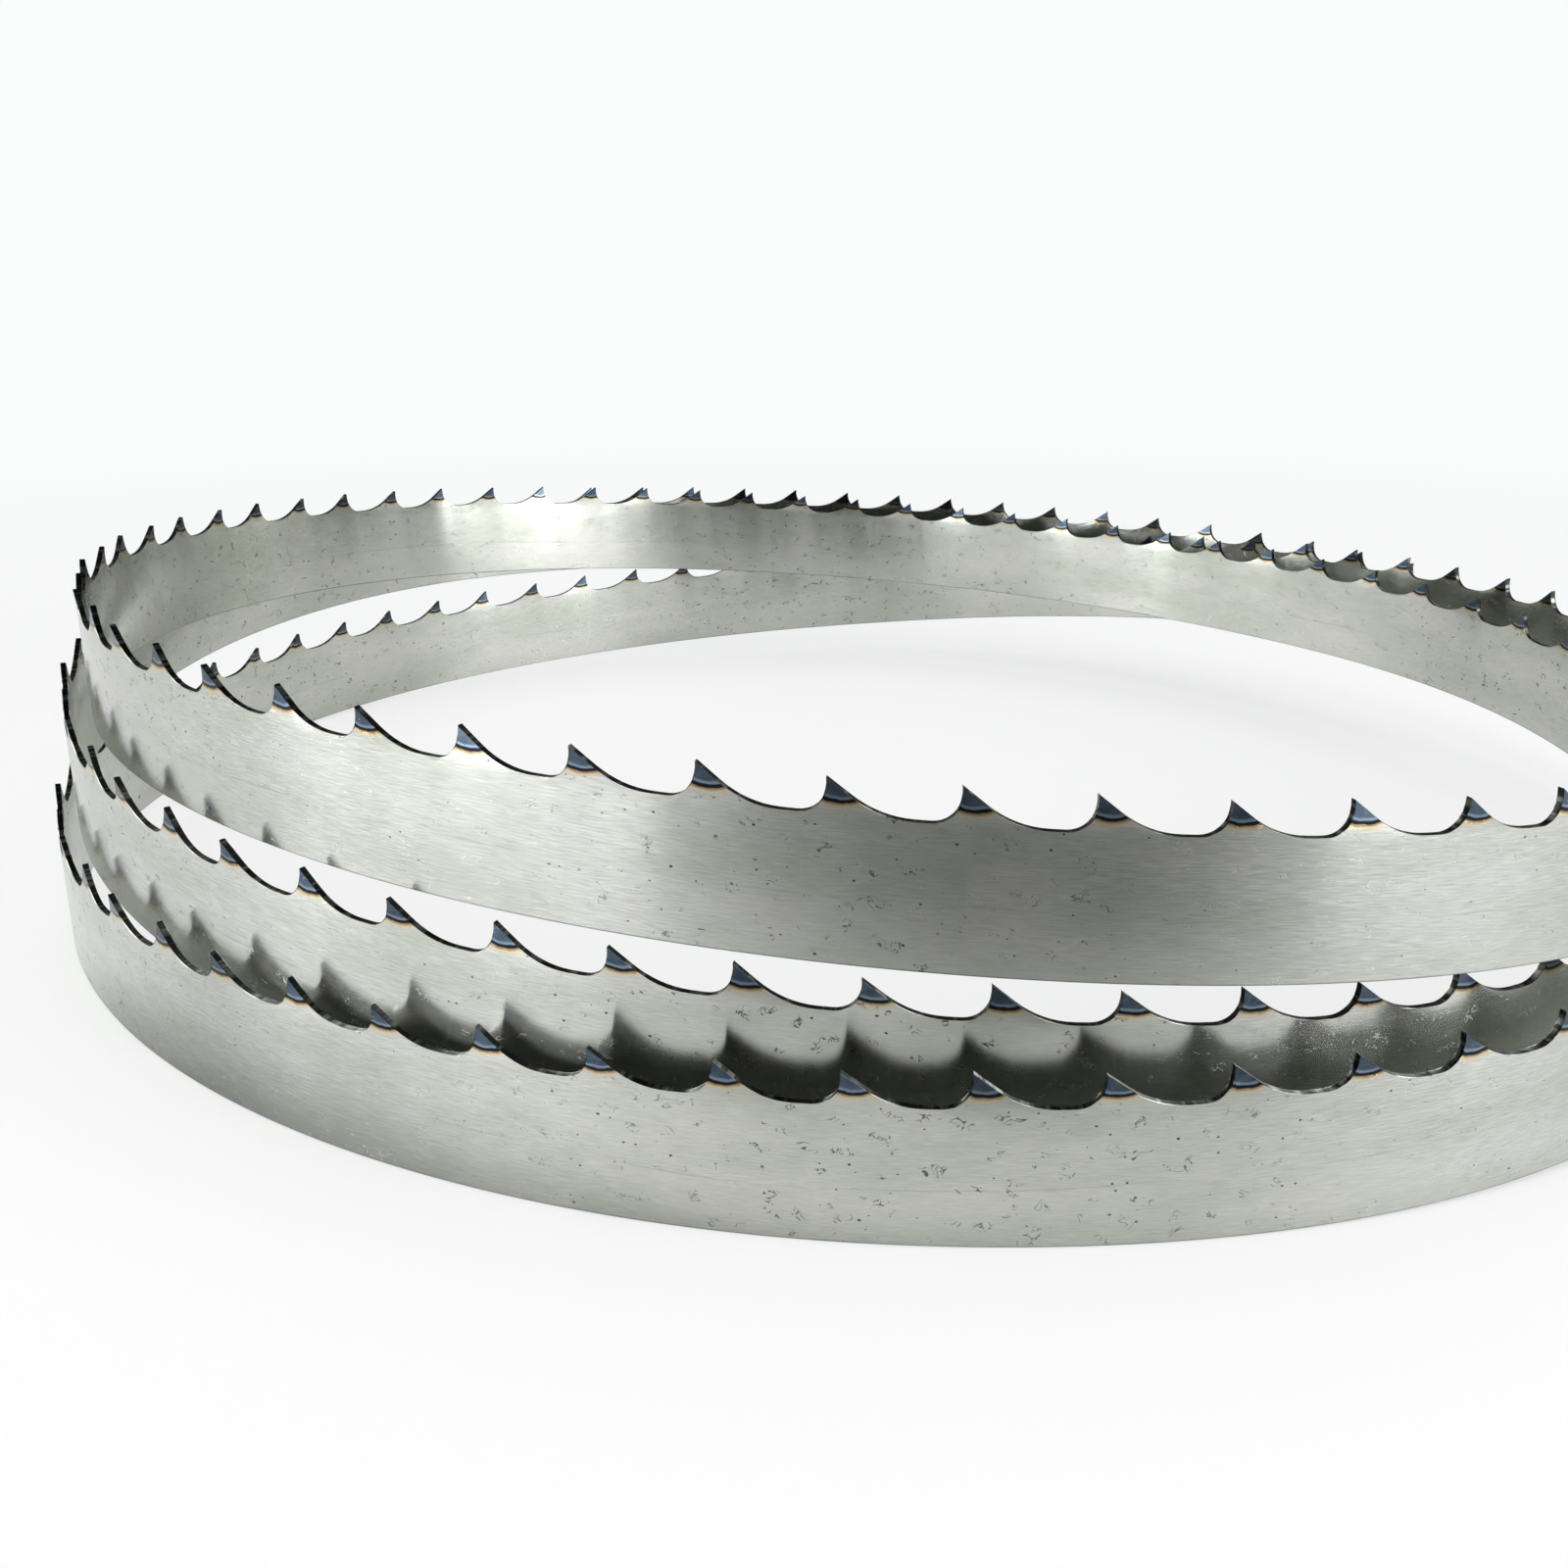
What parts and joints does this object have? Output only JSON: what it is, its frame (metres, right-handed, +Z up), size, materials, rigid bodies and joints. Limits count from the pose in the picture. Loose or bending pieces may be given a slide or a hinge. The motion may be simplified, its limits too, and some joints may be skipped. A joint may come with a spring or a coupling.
{
  "type": "band saw blade",
  "caption": "Endless welded steel band saw blade with set, hardened, hooked teeth, lying loosely coiled in three turns on its smooth edge",
  "frame": {"origin": "centre in plan of the coil's box, on the plane the coil lies on", "axes": "+X to the right in the picture, +Y away from the camera, +Z up, toward the tooth tips"},
  "size_m": [0.2604, 0.2595, 0.0511],
  "materials": {
    "blade": "ground steel band with lengthwise grain, blued hardened tooth tips, small dark pits"
  },
  "bodies": {
    "root": {"blade": "blade"}
  },
  "joints": []
}
